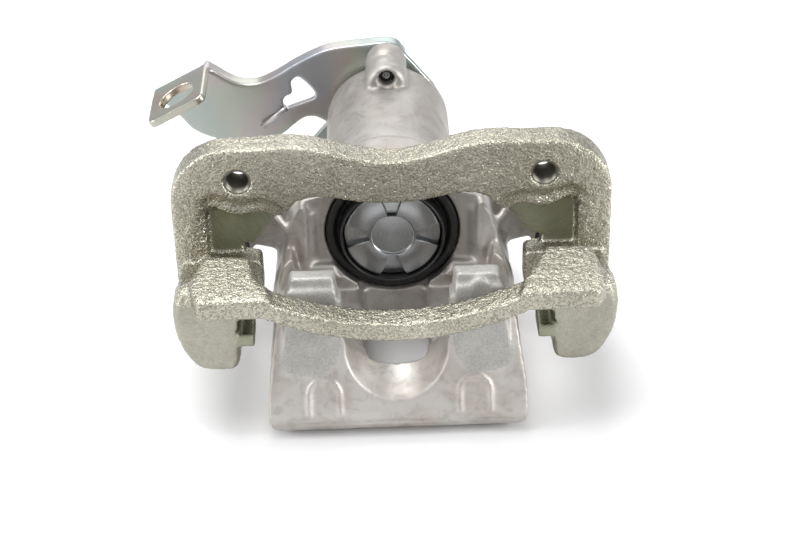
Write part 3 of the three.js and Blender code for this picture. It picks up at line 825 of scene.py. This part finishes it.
def housing_cuts():
    cavity = [(0, -4), (27, -4), (27, 0), (26.3, 0), (26.3, 9), (19.3, 9), (19.3, 58), (16.5, 58),
              (16.5, 90), (9, 90), (9, 101), (0, 101)]
    gap = [(19.7, 30), *arc(0, -5, 19.7, 0, -180, 5), (-19.7, 30)]
    window = bridge_window()
    rim = [(0.4 + (x - 0.4) * 1.09, -24 + (y + 24) * 1.045) for x, y in window]
    return [
        lathe(cavity, steps=160),
        prism(gap, "y", -75, FINGER_INNER_Y + 1),
        lathe([(0, -71), (24.5, -71), (14.8, -47), (0, -47)], 0, -10, 128),
        prism(window, "z", BRIDGE_BACK_Z - 1, BRIDGE_INNER_Z + 2),
        prism(window, "z", BRIDGE_INNER_Z - 1.1, BRIDGE_INNER_Z + 0.4, rim),
        prism(rim, "z", BRIDGE_INNER_Z + 0.3, BRIDGE_INNER_Z + 3),
        drum(3.4, 73, 86, 0, PORT_Z),
        lathe([(0, 73), (4.6, 73), (4.3, 75), (3.3, 76.2), (0, 76.2)], 0, PORT_Z, 48),
        *[drum(3.8, 10, 30, side * PIN_X, PIN_Z) for side in (1, -1)],
        *[drum(BRACKET_BOLT_R, 92, 101, *polar(*bolt)) for bolt in BRACKET_BOLTS],
    ]


def housing():
    ob = cast(housing_solids(), housing_cuts(), HOUSING_VOXEL)

    def soft(co):
        """1 on cast surfaces, less on turned faces and on small marks."""
        x, y, z = np.abs(co[:, 0]), co[:, 1], co[:, 2]
        face = (y > -1) & (y < 10) & (np.hypot(x, z) < 27.5)
        port = (y > 72) & (y < 78) & (np.hypot(x, z - PORT_Z) < 5.5)
        marks = (y < -50) & (z < -20) & (np.abs(x - 27.7) < 8)
        window_edge = (np.abs(z - BRIDGE_INNER_Z) < 3) & (x < 17) & (y < 4)
        return np.where(face | port, 0.1, np.where(marks | window_edge, 0.45, 1.0))

    def flash(co):
        """1 along the die's parting line round the bridge."""
        x, y, z = np.abs(co[:, 0]), co[:, 1], co[:, 2]
        line = np.exp(-((z + 40.2 + 0.02 * x) / 0.7) ** 2)
        return line * ((y < -55) | (x > 40)) * (z < -30)

    relax(ob, 5, soft)
    swell(ob, 9, 0.22)
    swell(ob, 2.5, 0.05)
    swell(ob, 1.4, 0.7, flash)
    push(ob, lambda co: -0.45 * flash(co))

    def pick(centre, normal):
        x, y, z = centre.T
        slope = np.minimum(0, z - FINGER_BEND_Z) * FINGER_RUN / FINGER_FALL
        front = (y < -54.5 + slope) & (z < 11) & (z > -22.2) & (normal[:, 1] < -0.8)
        tip = (y < -45) & (z > 2) & (np.hypot(x, z + 5) > 20.2)
        return np.where(front | tip, 1, 0)

    return finish(ob, "housing_casting", "housing", [ALUMINIUM, BLASTED], ["housing"], pick)


def port_seat():
    profile = [(0, 80), (3.3, 80), (3.3, 81), (1.9, 79.6), (1.4, 78.4), (0.9, 78.4), (0.8, 79.6), (0, 79.6)]
    ob = lathe(profile[::-1], 0, PORT_Z, 40)
    return finish(ob, "port_seat", "housing", [STEEL])


# ---------------------------------------------------------------- piston and boots


def piston():
    profile = [(0, 0.1), (8.2, 0.1), (8.5, -0.1), (8.7, -0.9), (9.1, -1), (17.8, -1), (18.6, -0.6),
               (19, 0.2), (19, 1.6), (17.4, 2), (17.4, 4.6), (19, 5), (19, 56), (15.2, 56), (15.2, 8.6),
               (0, 8.6)]
    ob = lathe(profile, steps=192)
    half = [(8.9, 1.9), (11, 2.4), (14.5, 3.6), (20, 6.4)]
    notch = half + [(x, -z) for x, z in reversed(half)]
    for turn in (0, 90, 180, 270):
        tool = prism(notch, "y", -3, 1.7)
        tool.data.transform(Matrix.Rotation(math.radians(turn), 4, "Y"))
        cut(ob, tool)
    bevel = ob.modifiers.new("bevel", "BEVEL")
    bevel.width, bevel.segments, bevel.limit_method, bevel.angle_limit = 0.22, 2, "ANGLE", math.radians(40)
    bake(ob)
    ob = finish(ob, "piston_turned", "piston", [STEEL], ["piston"])
    ob.data.set_sharp_from_angle(angle=math.radians(32))
    return ob


def piston_boot():
    skin = spline([(25.9, 8.6), (25.95, 4.2), (25.5, 2.9), (24.2, 2.45), (22.8, 2.7), (21.9, 3.6),
                   (21.2, 4.2), (20.6, 3.4), (20.5, 1.2), (20.45, -1.2), (20.1, -2.1), (19.6, -2.1),
                   (19.35, -1.2), (19.35, 3.4)], 4)
    ob = lathe(skin + [(19.35, 8.6)], steps=160)
    stretch = ("housing", "piston", (0, 2.2, 0), (0, -1.8, 0))
    return finish(ob, "piston_dust_boot", stretch, [RUBBER], ["piston_boot"])


def pin_boot(side, word):
    outer = []
    for i in range(25):
        y = 3.4 + 7.2 * i / 24
        outer.append((8.4 - 0.06 * i + 1.0 * math.cos(2 * math.pi * (y - 3.4) / 2.4), y))
    profile = outer + [(6.8, 11.2), (5.3, 11.2), (5.3, 3.4)]
    ob = lathe(profile, side * PIN_X, PIN_Z, 64)
    stretch = ("carrier", "housing", (side * PIN_X, 3.6, PIN_Z), (side * PIN_X, 10.8, PIN_Z))
    return finish(ob, f"pin_bellows_{word}", stretch, [RUBBER], [f"pin_boot_{word}"])


# ---------------------------------------------------------------- cable bracket

BEND_TOP, BEND_LOW = (-76.6, 26), (-100.4, 13.6)  # where the plate bends forward into the tab


def bracket_top():
    return spline([BEND_TOP, (-69.4, 20.4), (-63, 16.9), (-55.8, 16.4), (-48, 19.6), (-38.9, 25.1),
                   (-30.6, 29.3), (-22.4, 32), (-10, 33.3), (0, 34), (5.1, 32.6), (9, 27.6)], 4)


def bracket_outline():
    belly = spline([(-26, -3.5), (-31.2, -0.4), (-36, -0.8), (-41, -4.4), (-45.9, -8.4), (-53, -10.8),
                    (-66, -11), (-74.8, -9.6), (-84.1, -4.9), (-89.9, 2.2), BEND_LOW], 4)
    return [*bracket_top(), (20.5, 13), (25, 4), *arc(19, -8, 6.5, 0, -100), *arc(-19, -8, 6.5, -80, -180),
            *belly]


def folded_edge():
    """A strip 3 mm wide along the plate's upper edge."""
    top, inner = bracket_top(), []
    for i, (x, z) in enumerate(top):
        (x0, z0), (x1, z1) = top[max(0, i - 1)], top[min(len(top) - 1, i + 1)]
        length = math.hypot(x1 - x0, z1 - z0)
        inner.append((x + (z1 - z0) / length * 3, z - (x1 - x0) / length * 3))
    return top + inner[::-1]


def cable_bracket():
    width = math.hypot(BEND_LOW[0] - BEND_TOP[0], BEND_LOW[1] - BEND_TOP[1])
    ux, uz = (BEND_LOW[0] - BEND_TOP[0]) / width, (BEND_LOW[1] - BEND_TOP[1]) / width
    basis = Matrix(((ux, 0, -uz, BEND_TOP[0]), (0, 1, 0, 0), (uz, 0, ux, BEND_TOP[1]), (0, 0, 0, 1)))
    tab_outline = [(0, 103.8), (0, 75), (0.9, 73.2), (2.8, 72.5), (width - 2.8, 72.5), (width - 0.9, 73.2),
                   (width, 75), (width, 103.8)]
    tab = prism(tab_outline, "z", 0, PLATE_THICK)
    tab.data.transform(basis)
    eye = prism(arc(width / 2, 86, 8.3, 0, 354), "z", -2, 6)
    eye.data.transform(basis)
    window = spline([(-44.4, 5), (-44.8, 7.4), (-43.6, 9.7), (-40.6, 11.4), (-41, 15.6), (-39.6, 18.2),
                     (-36.8, 18.6), (-31.6, 12.6), (-30.7, 9.6), (-32.2, 8)], 3) + [(-43.6, 3.9)]
    solids = [prism(bracket_outline(), "y", PLATE_Y, PLATE_Y + PLATE_THICK),
              prism(folded_edge(), "y", PLATE_Y, PLATE_Y + 7), tab]
    cuts = [prism(window, "y", 98, 106), drum(9.4, 98, 110), eye]
    cuts += [drum(BRACKET_BOLT_R, 98, 110, *polar(*bolt)) for bolt in BRACKET_BOLTS]
    ob = cast(solids, cuts, BRACKET_VOXEL)

    def soft(co):
        """1 at the folded edge and at the tab's bend, little elsewhere."""
        x, y, z = co.T
        ridge = np.full(len(co), 99.0)
        for px, pz in bracket_top():
            ridge = np.minimum(ridge, np.hypot(x - px, z - pz))
        near = 1 - smoothstep(ridge, 2.0, 5.0)
        bend = 1 - smoothstep(np.abs((x - BEND_TOP[0]) * uz - (z - BEND_TOP[1]) * ux), 2.5, 5)
        return 0.22 + 0.78 * np.maximum(near * (y < 105.5), bend * (y > 96))

    relax(ob, 14, soft)

    def pick(centre, normal):
        height = -(centre[:, 0] - BEND_TOP[0]) * uz + (centre[:, 2] - BEND_TOP[1]) * ux
        return np.where((centre[:, 1] < 98) & (np.abs(height) < 5), 1, 0)

    ob = finish(ob, "cable_bracket_pressing", "housing", [ZINC, TAB],
                ["cable_bracket"], pick)
    tongue = rope([(-43.6, 99.4, 4.6), (-44.6, 98.6, 4.4), (-46, 98.3, 3.4), (-54.2, 98.3, -3.4)], 1.25, 16)
    return ob, finish(tongue, "bracket_tongue", "housing", [ZINC])


# ---------------------------------------------------------------- return spring


def lever_point(along, across):
    """Where a point lies in x and z, given along and across the lever at rest."""
    c, s = polar(1, LEVER_ANGLE)
    return along * c - across * s, along * s + across * c


def return_spring():
    """A wound wire: one leg lies against the bracket, the other turns with the lever."""
    coil_r, start, low_y, high_y, steps = 11.5, 210, 105.4, 108.4, 120
    end = LEVER_ANGLE - 90 + 720
    (fx, fz), (dx, dz) = polar(coil_r, start), polar(1, start - 90)
    path = [(fx + dx * t, 105.2, fz + dz * t) for t in (36.4, 20, 8)]
    for i in range(steps + 1):
        x, z = polar(coil_r, start + (end - start) * i / steps)
        path.append((x, low_y + (high_y - low_y) * i / steps, z))
    hook = [(10, -11.7, 108.4), (15, -12.4, 108.4), (18.4, -13.6, 109.6), (19, -13.6, 113)]
    for along, across, y in hook:
        x, z = lever_point(along, across)
        path.append((x, y, z))
    stretch = ("housing", "lever", (0, low_y, 0), (0, high_y, 0))
    wire = rope(path, 0.95)
    return finish(wire, "return_spring_wire", stretch, [STEEL], ["return_spring"])


# ---------------------------------------------------------------- pieces that keep their CAD shape


def dress(looks):
    for node, look in looks.items():
        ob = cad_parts[node]
        ob.data.materials.clear()
        ob.data.materials.append(look)


carrier()
thread_sleeve(1)
thread_sleeve(-1)
housing()
port_seat()
piston()
piston_boot()
pin_boot(1, "right")
pin_boot(-1, "left")
cable_bracket()
return_spring()

dress({
    "piston_seal": RUBBER, "pin_bush": RUBBER, "shaft_seal": RUBBER, "adjuster_nut": BRONZE,
    "ball_cage": BRONZE, "shaft_bush": BRONZE, "guide_pin_left": STEEL, "guide_pin_right": STEEL,
    "pin_bolt_left": ZINC, "pin_bolt_right": ZINC, "thrust_washer": STEEL, "adjuster_spring": STEEL,
    "spring_seat": ZINC, "piston_circlip": ZINC, "adjuster_spindle": STEEL, "ramp_ball_1": STEEL,
    "ramp_ball_2": STEEL, "ramp_ball_3": STEEL, "shaft_thrust_bearing": STEEL, "lever_shaft": STEEL,
    "bracket_bolt_1": ZINC, "bracket_bolt_2": ZINC, "lever": ZINC, "lever_nut": ZINC,
})

# ---------------------------------------------------------------- floor, light and camera

def floor():
    material = bpy.data.materials.new("studio_floor")
    material.use_nodes = True
    shader = material.node_tree.nodes["Principled BSDF"]
    shader.inputs["Base Color"].default_value = (0.74, 0.74, 0.74, 1)
    shader.inputs["Roughness"].default_value = 0.6
    half, gap = 3.0, 0.0002
    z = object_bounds()[0].z - gap
    mesh = bpy.data.meshes.new("floor")
    mesh.from_pydata([(-half, -half, z), (half, -half, z), (half, half, z), (-half, half, z)], [],
                     [(0, 1, 2, 3)])
    mesh.materials.append(material)
    ob = bpy.data.objects.new("floor", mesh)
    scene.collection.objects.link(ob)
    ob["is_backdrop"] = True


def lamp(name, place, width, height, watts):
    """A rectangular lamp that faces the middle of the caliper; lengths in metres."""
    data = bpy.data.lights.new(name, "AREA")
    data.shape = "RECTANGLE"
    data.size, data.size_y, data.energy = width, height, watts
    ob = bpy.data.objects.new(name, data)
    ob.location = place
    ob.rotation_euler = (-Vector(place)).to_track_quat("-Z", "Y").to_euler()
    scene.collection.objects.link(ob)


def studio():
    world = bpy.data.worlds.new("studio")
    scene.world = world
    world.use_nodes = True
    background = world.node_tree.nodes["Background"]
    background.inputs["Color"].default_value = (0.96, 0.97, 1.0, 1)
    background.inputs["Strength"].default_value = 0.7
    lamp("key", (-0.2, 0.05, 0.9), 0.9, 0.6, 9)
    lamp("back", (0.1, 0.9, 0.5), 0.9, 0.3, 2)
    lamp("left", (-0.9, -0.2, 0.35), 0.3, 0.5, 5)
    lamp("right", (0.9, -0.35, 0.3), 0.25, 0.5, 7)


def camera():
    """Looks down on the piston's nose from outboard."""
    azimuth, elevation, roll = (math.radians(a) for a in (-0.7, 32.5, 1.5))
    distance = 0.7184
    right = Vector((math.cos(azimuth), math.sin(azimuth), 0))
    back = Vector((math.sin(azimuth) * math.cos(elevation), -math.cos(azimuth) * math.cos(elevation),
                   math.sin(elevation)))
    up = back.cross(right)
    across = right * math.cos(roll) - up * math.sin(roll)
    upward = right * math.sin(roll) + up * math.cos(roll)
    place = across * 0.00295 - upward * 0.01243 + back * distance
    data = bpy.data.cameras.new("camera")
    data.sensor_width = 36
    data.lens = 83.25
    data.clip_start = 0.01
    ob = bpy.data.objects.new("camera", data)
    ob.matrix_world = Matrix((
        (across.x, upward.x, back.x, place.x), (across.y, upward.y, back.y, place.y),
        (across.z, upward.z, back.z, place.z), (0, 0, 0, 1)))
    scene.collection.objects.link(ob)
    scene.camera = ob


floor()
studio()
camera()
scene.view_settings.view_transform = "Standard"
